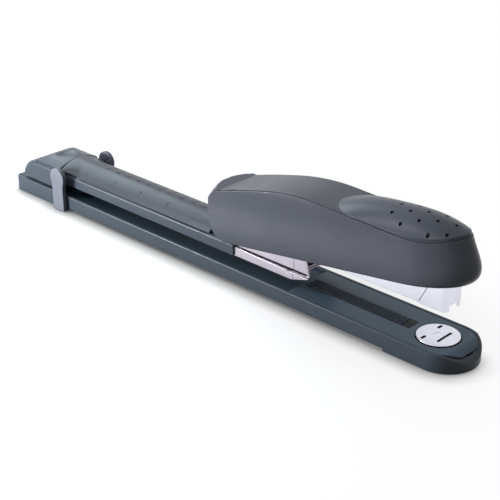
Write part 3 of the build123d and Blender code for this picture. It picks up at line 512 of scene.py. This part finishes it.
def add_bar(shape, low, high):
    """A box between two corners, in millimetres, in a bmesh; returns its vertices."""
    made = bmesh.ops.create_cube(shape, size=1.0)["verts"]
    size = [(b - a) * MM for a, b in zip(low, high)]
    centre = [(a + b) / 2 * MM for a, b in zip(low, high)]
    bmesh.ops.scale(shape, vec=size, verts=made)
    bmesh.ops.translate(shape, vec=centre, verts=made)
    return made


def lean_bar(shape, bar, turn, foot):
    """Turns a bar about the Y axis, then moves its foot from the origin to X and Z, in millimetres."""
    bmesh.ops.rotate(shape, verts=bar, cent=(0, 0, 0), matrix=Matrix.Rotation(turn, 3, "Y"))
    bmesh.ops.translate(shape, verts=bar, vec=(foot[0] * MM, 0, foot[1] * MM))


def side_span(side, inner, outer):
    """The span in Y between two distances from the middle, on the near side (-1) or the far side (1)."""
    return sorted((side * inner, side * outer))


class STAPLER_OT_solids(bpy.types.Operator):
    """Give every CAD solid the finish of its material slot"""
    bl_idname = "stapler.solids"
    bl_label = "Finish the Solids"

    def execute(self, context):
        for name, solid in frame["nodes"].items():
            solid.material_slots[0].material = node_finish(name)
        return {"FINISHED"}


class STAPLER_OT_sheet_metal(bpy.types.Operator):
    """Round the edges of the pressed steel parts"""
    bl_idname = "stapler.sheet_metal"
    bl_label = "Round the Sheet Metal"
    nodes = ("bracket_channel", "pivot_yoke", "magazine_channel", "nose_sleeve")

    def execute(self, context):
        sizes = context.scene.stapler_sizes
        soften("arm_channel", sizes.arm_edge)
        for node in self.nodes:
            soften(node, sizes.sheet_edge)
        return {"FINISHED"}


class STAPLER_OT_mouldings(bpy.types.Operator):
    """Round the edges of the plastic and rubber mouldings"""
    bl_idname = "stapler.mouldings"
    bl_label = "Round the Mouldings"
    # Two corners of the pocket under the rear cap, in millimetres
    nut_pocket = ((-165.5, -6.0, 26.4), (-146.5, 6.0, 27.7))

    def execute(self, context):
        sizes = context.scene.stapler_sizes
        soften("paper_stop", sizes.moulded_edge)
        soften("front_table", sizes.table_edge)
        soften("grip_strip", sizes.rib_edge)
        soften("base_shell", sizes.sheet_edge)
        soften("handle_skirt", sizes.sheet_edge)
        soften("rear_cap", sizes.sheet_edge, self.nut_pocket)
        return {"FINISHED"}


class STAPLER_OT_stop_ribs(bpy.types.Operator):
    """Fan the grip ribs out inside the paper stop's two heads"""
    bl_idname = "stapler.stop_ribs"
    bl_label = "Add the Stop's Ribs"
    # In millimetres: the fan's middle in X and Z, how far out the ribs reach, and where they lie in Y
    root = (-136.0, 22.5)
    reach = (1.2, 6.6)
    depth = (19.45, 20.1)
    spread = math.radians(130)
    rounding = 0.3

    def execute(self, context):
        sizes = context.scene.stapler_sizes
        shape = bmesh.new()
        half = sizes.stop_rib / MM / 2
        for side in (-1, 1):
            near, far = side_span(side, *self.depth)
            for number in range(sizes.stop_ribs):
                turn = self.spread * (number / max(1, sizes.stop_ribs - 1) - 0.5)
                rib = add_bar(shape, (-half, near, self.reach[0]), (half, far, self.reach[1]))
                lean_bar(shape, rib, turn, self.root)
        bmesh.ops.bevel(shape, geom=shape.edges[:], offset=sizes.stop_rib * self.rounding,
                        offset_type="OFFSET", affect="EDGES", segments=2, profile=0.5, material=-1)
        add_piece("paper_stop_ribs", shape, "paper_stop", finish("stop_plastic"))
        return {"FINISHED"}


class STAPLER_OT_staples(bpy.types.Operator):
    """Fill the magazine with a stick of separate staples"""
    bl_idname = "stapler.staples"
    bl_label = "Load the Staples"
    bend_steps = 3

    def execute(self, context):
        sizes = context.scene.stapler_sizes
        low, high = (Vector(corner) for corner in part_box("staple_strip"))
        wire = sizes.wire
        bend = sizes.staple_bend
        shape = bmesh.new()
        loop = bmesh.ops.create_grid(shape, x_segments=1, y_segments=1, size=wire / 2)["verts"]
        start = Vector((low.x + wire / 2, low.y + wire / 2, low.z))
        bmesh.ops.translate(shape, verts=loop, vec=start)
        ends = shape.faces[:]
        ends = self.push(shape, ends, (0, 0, high.z - bend - low.z))
        ends = self.turn(shape, ends, (0, low.y + bend, high.z - bend))
        ends = self.push(shape, ends, (0, high.y - low.y - 2 * bend, 0))
        ends = self.turn(shape, ends, (0, high.y - bend, high.z - bend))
        self.push(shape, ends, (0, 0, low.z - high.z + bend))
        inside = [face for face in shape.faces if all(len(edge.link_faces) > 2 for edge in face.edges)]
        bmesh.ops.delete(shape, geom=inside, context="FACES_ONLY")
        bmesh.ops.holes_fill(shape, edges=open_edges(shape))
        bmesh.ops.recalc_face_normals(shape, faces=shape.faces)
        body = frame["nodes"]["staple_strip"]["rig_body"]
        piece = add_piece("staples", shape, body, finish("staple_steel"))
        row = piece.modifiers.new("stick", "ARRAY")
        row.use_relative_offset = False
        row.use_constant_offset = True
        row.constant_offset_displace = (sizes.staple_pitch, 0, 0)
        row.count = int((high.x - low.x - wire) / sizes.staple_pitch) + 1
        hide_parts("staple_strip")
        return {"FINISHED"}

    def push(self, shape, faces, way):
        """Draws the wire on in a straight line; returns its new end."""
        made = bmesh.ops.extrude_face_region(shape, geom=faces)["geom"]
        bmesh.ops.delete(shape, geom=faces, context="FACES_ONLY")
        bmesh.ops.translate(shape, vec=way, verts=picked(made, bmesh.types.BMVert))
        return picked(made, bmesh.types.BMFace)

    def turn(self, shape, faces, centre):
        """Bends the wire a quarter turn towards +Y; returns its new end."""
        made = bmesh.ops.spin(shape, geom=faces, cent=centre, axis=(1, 0, 0), angle=-math.pi / 2,
                              steps=self.bend_steps)
        return picked(made["geom_last"], bmesh.types.BMFace)


class STAPLER_OT_springs(bpy.types.Operator):
    """Wind the two coil springs"""
    bl_idname = "stapler.springs"
    bl_label = "Wind the Springs"
    # Node, way that it winds, wire's radius and pitch in millimetres, joint, and the share left when closed
    coils = (("head_spring", (0, 0, 1), 0.5, 2.5, "head_swing", 0.50),
             ("follower_spring", (1, 0, 0), 0.3, 3.0, "follower_slide", 0.28))
    turn_steps = 20
    wire_sides = 8

    def execute(self, context):
        for coil in self.coils:
            self.wind(*coil)
        return {"FINISHED"}

    def wind(self, node, way, wire, pitch, joint, closed):
        """A coil in the place of a CAD spring."""
        axis = Vector(way)
        low, high = (Vector(corner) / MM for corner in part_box(node))
        length = (high - low).dot(axis)
        foot = (low + high) / 2 - axis * length / 2
        out = Vector((axis.z, 0, axis.x))
        start = foot + axis * wire + out * ((high.y - low.y) / 2 - wire)
        climb = length - 2 * wire
        turns = climb / pitch
        steps = round(turns * self.turn_steps)
        shape = bmesh.new()
        made = bmesh.ops.create_circle(shape, cap_ends=True, segments=self.wire_sides, radius=wire * MM)
        section = made["verts"]
        upright = Matrix.Rotation(math.pi / 2, 3, "X")
        bmesh.ops.rotate(shape, verts=section, cent=(0, 0, 0), matrix=upright)
        bmesh.ops.translate(shape, verts=section, vec=start * MM)
        bmesh.ops.spin(shape, geom=[*shape.verts, *shape.edges, *shape.faces], cent=foot * MM, axis=axis,
                       dvec=axis * climb / steps * MM, angle=turns * math.tau, steps=steps)
        bmesh.ops.remove_doubles(shape, verts=shape.verts, dist=MERGE_DISTANCE)
        bmesh.ops.recalc_face_normals(shape, faces=shape.faces)
        body = frame["nodes"][node]["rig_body"]
        coil = add_piece(f"{node}_coil", shape, body, node_finish(node))
        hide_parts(node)
        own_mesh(coil)


class STAPLER_OT_ruler(bpy.types.Operator):
    """Print the depth scales on the arm's cover"""
    bl_idname = "stapler.ruler"
    bl_label = "Print the Ruler"
    centimetres = range(18, 28)
    inches = range(7, 12)
    # In millimetres: where the lines run and the figures start in Y, and the print's thickness
    whole_line = (3.4, 7.4)
    half_line = (5.4, 7.4)
    inch_line = (-11.6, -10.9)
    centimetre_figures = -1.2
    inch_figures = -10.2
    thickness = 0.3
    line_cuts = 4
    figure_curve = 3

    def execute(self, context):
        sizes = context.scene.stapler_sizes
        shape = bmesh.new()
        for number in self.centimetres:
            x = (sizes.ruler_zero - number * sizes.centimetre) / MM
            self.add_line(shape, sizes, x, *self.whole_line)
            self.add_line(shape, sizes, x + sizes.centimetre / MM / 2, *self.half_line)
            self.add_figure(shape, sizes, number, x, self.centimetre_figures)
        for number in self.inches:
            x = (sizes.ruler_zero - number * sizes.inch) / MM
            self.add_line(shape, sizes, x, *self.inch_line)
            self.add_figure(shape, sizes, number, x, self.inch_figures)
        self.drape(shape, sizes)
        add_piece("ruler_marks", shape, "base", finish("ruler_print"))
        return {"FINISHED"}

    def add_line(self, shape, sizes, x, near, far):
        """One line of the scale, flat, along Y."""
        half = sizes.mark_width / MM / 2
        bar = add_bar(shape, (x - half, near, 0), (x + half, far, self.thickness))
        along = [edge for edge in {edge for vert in bar for edge in vert.link_edges}
                 if abs(edge.verts[0].co.y - edge.verts[1].co.y) > MERGE_DISTANCE]
        bmesh.ops.subdivide_edges(shape, edges=along, cuts=self.line_cuts, use_grid_fill=True)

    def add_figure(self, shape, sizes, number, x, y):
        """One number of the scale, flat, read from the near side."""
        curve = bpy.data.curves.new("figure", "FONT")
        curve.body = str(number)
        curve.align_x = "CENTER"
        curve.size = sizes.figure
        curve.resolution_u = self.figure_curve
        curve.extrude = self.thickness * MM / 2
        carrier = bpy.data.objects.new("figure", curve)
        mesh = bpy.data.meshes.new_from_object(carrier)
        mesh.transform(Matrix.Translation((x * MM, y * MM, self.thickness * MM / 2)))
        shape.from_mesh(mesh)
        bpy.data.meshes.remove(mesh)
        bpy.data.objects.remove(carrier)
        bpy.data.curves.remove(curve)

    def drape(self, shape, sizes):
        """Lets the flat print down onto the cover's arch, a little proud of it and rooted in it."""
        cover = frame["nodes"]["arm_cover"].data
        surface = BVHTree.FromPolygons([vert.co for vert in cover.vertices],
                                       [face.vertices for face in cover.polygons])
        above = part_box("arm_cover")[1][2] + 1
        for vert in shape.verts:
            found = surface.ray_cast(Vector((vert.co.x, vert.co.y, above)), Vector((0, 0, -1)))
            if found[0] is None:
                raise RuntimeError("a ruler mark lies off the arm's cover")
            vert.co.z += found[0].z + sizes.mark_rise - self.thickness * MM


class STAPLER_OT_collar(bpy.types.Operator):
    """Fair the arm's cover into the wider rear cap"""
    bl_idname = "stapler.collar"
    bl_label = "Fair the Cover's Collar"
    # At either end, in millimetres: half the width, the foot's height, and the rise over the cover's crown
    rear = (16.2, 26.3, 0.02)
    front = (14.5, 24.6, -0.25)
    length = 20.0
    wall = 0.5
    steps_along = 10
    steps_across = 28
    # An edge that moves less than this in Y, in millimetres, runs along the arm
    straight = 0.2

    def execute(self, context):
        shape = bmesh.new()
        bmesh.ops.create_grid(shape, x_segments=self.steps_along, y_segments=self.steps_across, size=0.5)
        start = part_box("arm_cover")[0][0] / MM
        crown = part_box("arm_cover")[1][2] / MM
        for vert in shape.verts:
            along = vert.co.x + 0.5
            ease = along * along * (3 - 2 * along)
            half, foot, proud = (a + (b - a) * ease for a, b in zip(self.rear, self.front))
            rise = crown - foot
            radius = (half * half + rise * rise) / (2 * rise)
            across = vert.co.y * 2 * half
            drop = radius - math.sqrt(radius * radius - across * across)
            vert.co = Vector((start + along * self.length, across, crown + proud - drop)) * MM
        rims = [edge for edge in open_edges(shape)
                if abs(edge.verts[0].co.y - edge.verts[1].co.y) < self.straight * MM]
        made = bmesh.ops.extrude_edge_only(shape, edges=rims)["geom"]
        for vert in picked(made, bmesh.types.BMVert):
            vert.co.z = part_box("arm_cover")[0][2]
        bmesh.ops.recalc_face_normals(shape, faces=shape.faces)
        collar = add_piece("cover_collar", shape, "base", finish("cover_plastic"))
        wall = collar.modifiers.new("wall", "SOLIDIFY")
        wall.thickness = self.wall * MM
        wall.offset = -1
        return {"FINISHED"}


class STAPLER_OT_seams(bpy.types.Operator):
    """Draw painted shadow lines in the seams of the bracket, the nose sleeve and the arm's cover"""
    bl_idname = "stapler.seams"
    bl_label = "Seal the Seams"
    # All in millimetres: how deep a line is rooted, and how far it stands out of a wall, a cheek or a ledge
    root = 0.1
    wall_rise = 0.02
    cheek_rise = 0.05
    ledge_rise = 0.06
    # Painted shadow in the bracket's lap seams, and in the score across each cheek
    seam_x = (-1.0, 80.5)
    seam_inset = 0.3
    bead = 0.45
    score_x = (70.4, 70.7)
    score_up = 12.0
    score_down = (5.2, 0.4)
    # Painted shadow lines for the sleeve's slanting seams
    sleeve_low = (154.3, 32.2)
    sleeve_lean = math.radians(26)
    sleeve_line = (0.35, 13.0)
    # The painted shadow line along the cover's feet
    foot_reach = 0.8
    foot_sink = 0.05
    foot_ends = (1.0, 0.1)

    def execute(self, context):
        self.seam_bracket()
        self.seam_sleeve()
        self.seam_cover()
        return {"FINISHED"}

    def seam_bracket(self):
        """Painted shadow in each lap seam, and in the score across each cheek and the wall under it."""
        shape = bmesh.new()
        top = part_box("bracket_channel")[1][2] / MM
        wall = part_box("bracket_channel")[1][1] / MM
        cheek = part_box("pivot_yoke")[1][1] / MM
        start, stop = self.seam_x
        left, right = self.score_x
        lower, upper = self.score_down
        for side in (-1, 1):
            near, far = side_span(side, cheek - self.root, wall - self.seam_inset)
            add_bar(shape, (start, near, top - self.root), (stop, far, top + self.ledge_rise))
            near, far = side_span(side, cheek - self.root, cheek + self.cheek_rise)
            add_bar(shape, (start, near, top), (stop, far, top + self.bead))
            add_bar(shape, (left, near, top), (right, far, top + self.score_up))
            near, far = side_span(side, wall - self.root, wall + self.wall_rise)
            add_bar(shape, (left, near, top - lower), (right, far, top - upper))
        add_piece("bracket_seams", shape, "base", finish("seam_sealer"))

    def seam_sleeve(self):
        """The painted shadow line that leans forward on each side of the nose."""
        shape = bmesh.new()
        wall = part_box("nose_sleeve")[1][1] / MM
        width, length = self.sleeve_line
        for side in (-1, 1):
            near, far = side_span(side, wall - self.root, wall + self.wall_rise)
            line = add_bar(shape, (0, near, 0), (width, far, length))
            lean_bar(shape, line, self.sleeve_lean, self.sleeve_low)
        body = frame["nodes"]["nose_sleeve"]["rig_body"]
        add_piece("sleeve_seams", shape, body, finish("seam_sealer"))

    def seam_cover(self):
        """The painted shadow line along each foot of the arm's cover."""
        shape = bmesh.new()
        low, high = (Vector(corner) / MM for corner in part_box("arm_cover"))
        rear, front = self.foot_ends
        for side in (-1, 1):
            near, far = side_span(side, high.y - self.root, high.y + self.foot_reach)
            add_bar(shape, (low.x + rear, near, low.z - self.foot_sink),
                    (high.x - front, far, low.z + self.ledge_rise))
        add_piece("cover_seams", shape, "base", finish("seam_sealer"))


class STAPLER_OT_stage(bpy.types.Operator):
    """Set the floor, the lights and the camera"""
    bl_idname = "stapler.stage"
    bl_label = "Set the Stage"
    # Lamp, its place, the point that it shines at and its width, in metres, and its colour
    lamps = (("key", (-0.42, -0.46, 0.08), (-0.04, 0.0, 0.05), 0.14, (1, 1, 1)),
             ("edge", (-0.47, -0.44, 0.66), (-0.02, 0.0, 0.05), 0.36, (1, 1, 1)),
             ("crease", (-0.02, -0.56, 0.73), (0.12, 0.0, 0.06), 0.36, (1, 1, 1)),
             ("top", (-0.75, 0.16, 0.55), (-0.05, 0.0, 0.05), 0.60, (0.80, 0.92, 1.0)))
    # The floor is paper round a point beside the stapler, and white from where the fade ends, in metres
    floor_half = 6.0
    paper_middle = (-0.10, -0.20, 0.0)
    paper_fade = (0.17, 0.40)
    paper_roughness = 0.9
    # The painted shade along the stapler's near edge, over the lamps' own shadow: how far it reaches, how
    # open a corner is and how dark it gets
    corner_samples = 16
    corner_reach = 0.012
    corner_open = 0.45
    corner_shade = 0.30
    far_edge = 0.02
    # The way to the room's bright side, and the cosine at which the dark side starts
    bright_way = (-0.62, 0.42, 0.66)
    dark_from = -0.35
    film_width = 36.0
    lens_clip = 0.01

    def execute(self, context):
        stage = context.scene.stapler_stage
        self.lay_floor(stage)
        self.light_room(stage)
        for lamp, place, aim, width, colour in self.lamps:
            self.hang_light(f"{lamp} light", getattr(stage, lamp), place, aim, width, colour)
        self.place_camera(stage)
        context.scene.view_settings.view_transform = "Standard"
        return {"FINISHED"}

    def lay_floor(self, stage):
        """Pale paper that keeps the shadow, takes a painted shade along the stapler's near edge, turns
        white further out and throws little light back.
        """
        mesh = bpy.data.meshes.new("floor")
        flat = bmesh.new()
        bmesh.ops.create_grid(flat, x_segments=1, y_segments=1, size=self.floor_half)
        flat.to_mesh(mesh)
        flat.free()
        floor = bpy.data.objects.new("floor", mesh)
        bpy.context.scene.collection.objects.link(floor)
        material, tree, shader = new_material("floor paper")
        shader.inputs["Roughness"].default_value = self.paper_roughness
        shader.inputs["Specular IOR Level"].default_value = 0.0
        shader.inputs["Emission Color"].default_value = (1, 1, 1, 1)
        away = tree.nodes.new("ShaderNodeVectorMath")
        away.operation = "DISTANCE"
        away.inputs[1].default_value = self.paper_middle
        tree.links.new(object_place(tree), away.inputs[0])
        seen = self.seen_rays(tree)
        corner = self.shade_corner(tree)
        glow = map_range(tree, away.outputs["Value"], *self.paper_fade, stage.lift, 1.0)
        paper = map_range(tree, glow, stage.lift, 1.0, stage.paper, 0.0)
        shaded_paper = calc(tree, "MULTIPLY", paper, corner)
        shaded_glow = calc(tree, "MULTIPLY", calc(tree, "MULTIPLY", seen, glow), corner)
        base = map_range(tree, seen, 0.0, 1.0, stage.bounce, shaded_paper)
        tree.links.new(base, shader.inputs["Base Color"])
        tree.links.new(shaded_glow, shader.inputs["Emission Strength"])
        mesh.materials.append(material)

    def shade_corner(self, tree):
        """Painted shade: less than 1 where the floor meets the stapler's near edge, and 1 elsewhere."""
        corner = tree.nodes.new("ShaderNodeAmbientOcclusion")
        corner.samples = self.corner_samples
        corner.inputs["Distance"].default_value = self.corner_reach
        dim = map_range(tree, corner.outputs["AO"], self.corner_open, 1.0, self.corner_shade, 1.0)
        return map_range(tree, split_place(tree)["Y"], 0.0, self.far_edge, dim, 1.0)

    def seen_rays(self, tree):
        """1 on a ray from the camera, or off a glossy or a clear surface, and 0 on light's own way."""
        path = tree.nodes.new("ShaderNodeLightPath")
        total = path.outputs["Is Camera Ray"]
        for other in ("Is Glossy Ray", "Is Transmission Ray"):
            total = calc(tree, "MAXIMUM", total, path.outputs[other])
        return total

    def light_room(self, stage):
        """A white room that lights the stapler softly from one side."""
        world = bpy.data.worlds.new("studio")
        world.use_nodes = True
        bpy.context.scene.world = world
        tree = world.node_tree
        background = tree.nodes["Background"]
        background.inputs["Color"].default_value = (1, 1, 1, 1)
        facing = tree.nodes.new("ShaderNodeVectorMath")
        facing.operation = "DOT_PRODUCT"
        facing.inputs[1].default_value = Vector(self.bright_way).normalized()
        tree.links.new(tree.nodes.new("ShaderNodeTexCoord").outputs["Generated"], facing.inputs[0])
        turned = facing.outputs["Value"]
        room = map_range(tree, turned, self.dark_from, 1.0, stage.dark_side, stage.bright_side)
        level = map_range(tree, self.seen_rays(tree), 0.0, 1.0, room, 1.0)
        tree.links.new(level, background.inputs["Strength"])

    def hang_light(self, name, watts, place, aim, width, colour):
        """A round soft lamp that shines at a point."""
        lamp = bpy.data.lights.new(name, "AREA")
        lamp.shape = "DISK"
        lamp.size = width
        lamp.energy = watts
        lamp.color = colour
        light = bpy.data.objects.new(name, lamp)
        light.location = place
        light.rotation_euler = (Vector(aim) - Vector(place)).to_track_quat("-Z", "Y").to_euler()
        bpy.context.scene.collection.objects.link(light)

    def place_camera(self, stage):
        """The camera, turned round its target."""
        lens = bpy.data.cameras.new("camera")
        lens.lens = stage.lens
        lens.sensor_width = self.film_width
        lens.clip_start = self.lens_clip
        camera = bpy.data.objects.new("camera", lens)
        back = Vector((math.sin(stage.azimuth) * math.cos(stage.elevation),
                       -math.cos(stage.azimuth) * math.cos(stage.elevation),
                       math.sin(stage.elevation)))
        camera.location = Vector(stage.target) + back * stage.distance
        camera.rotation_euler = (-back).to_track_quat("-Z", "Y").to_euler()
        bpy.context.scene.collection.objects.link(camera)
        bpy.context.scene.camera = camera


OPERATORS = (STAPLER_OT_solids, STAPLER_OT_sheet_metal, STAPLER_OT_mouldings, STAPLER_OT_stop_ribs,
             STAPLER_OT_staples, STAPLER_OT_springs, STAPLER_OT_ruler, STAPLER_OT_collar,
             STAPLER_OT_seams, STAPLER_OT_stage)


class STAPLER_PT_panel(bpy.types.Panel):
    """Lists the steps that dress the stapler"""
    bl_idname = "STAPLER_PT_panel"
    bl_label = "Stapler"
    bl_space_type = "VIEW_3D"
    bl_region_type = "UI"
    bl_category = "Stapler"

    def draw(self, context):
        scene = context.scene
        for operator in OPERATORS:
            self.layout.operator(operator.bl_idname)
        for group in (scene.stapler_colours, scene.stapler_sizes, scene.stapler_stage):
            for label in group.__annotations__:
                self.layout.prop(group, label)


CLASSES = (StaplerColours, StaplerSizes, StaplerStage, *OPERATORS, STAPLER_PT_panel)


def register():
    """Register the classes and hang their settings on the scene."""
    for item in CLASSES:
        bpy.utils.register_class(item)
    bpy.types.Scene.stapler_colours = PointerProperty(type=StaplerColours)
    bpy.types.Scene.stapler_sizes = PointerProperty(type=StaplerSizes)
    bpy.types.Scene.stapler_stage = PointerProperty(type=StaplerStage)


def unregister():
    """Take the settings off the scene and unregister the classes."""
    del bpy.types.Scene.stapler_stage
    del bpy.types.Scene.stapler_sizes
    del bpy.types.Scene.stapler_colours
    for item in reversed(CLASSES):
        bpy.utils.unregister_class(item)


def main():
    """Dress the stapler step by step."""
    register()
    bpy.ops.stapler.solids()
    bpy.ops.stapler.sheet_metal()
    bpy.ops.stapler.mouldings()
    bpy.ops.stapler.stop_ribs()
    bpy.ops.stapler.staples()
    bpy.ops.stapler.springs()
    bpy.ops.stapler.ruler()
    bpy.ops.stapler.collar()
    bpy.ops.stapler.seams()
    bpy.ops.stapler.stage()


if __name__ == "__main__":
    main()
